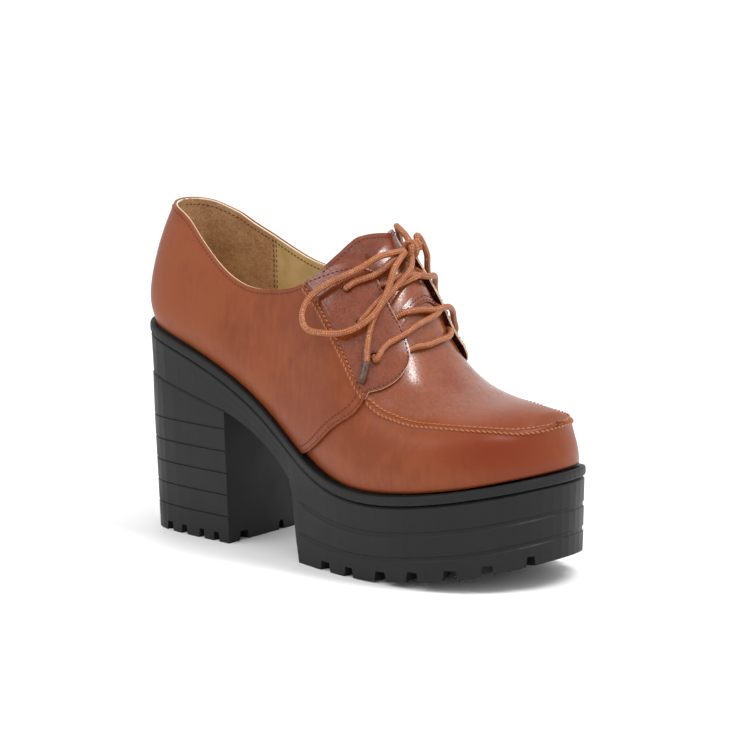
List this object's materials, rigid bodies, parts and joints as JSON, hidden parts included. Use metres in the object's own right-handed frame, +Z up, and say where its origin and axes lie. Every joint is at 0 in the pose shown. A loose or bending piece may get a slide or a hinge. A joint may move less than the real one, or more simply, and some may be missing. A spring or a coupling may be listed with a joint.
{
  "type": "heeled oxford shoe",
  "caption": "Right lace-up women's shoe with a hollow leather upper, apron toe, platform sole with lugs and a block heel.",
  "frame": {"origin": "middle of the bounding box at the floor, under the shoe", "axes": "+X towards the toe, +Y towards the inner side of this right shoe, +Z up"},
  "size_m": [0.24, 0.0905, 0.1606],
  "materials": {
    "brown_leather": "smooth, satin reddish brown",
    "glossy_brown_leather": "smooth, polished brown",
    "black_rubber": "matte charcoal black",
    "beige_lining": "matte beige",
    "lace_cord": "waxed, orange tan",
    "aglet_film": "glossy dark brown"
  },
  "bodies": {
    "root": {"rim_board": "black_rubber", "platform_sole": "black_rubber", "heel_block": "black_rubber", "insole": "beige_lining", "upper": "brown_leather", "tongue": "glossy_brown_leather", "facing_outer": "glossy_brown_leather", "facing_inner": "glossy_brown_leather", "lace_bar": "lace_cord", "lace_crossing_lower": "lace_cord", "lace_crossing_upper": "lace_cord", "lace_from_hole": "lace_cord", "lace_knot": "lace_cord", "lace_loop_outer": "lace_cord", "lace_loop_inner": "lace_cord", "lace_free_end": "lace_cord", "aglet": "aglet_film"}
  },
  "joints": []
}
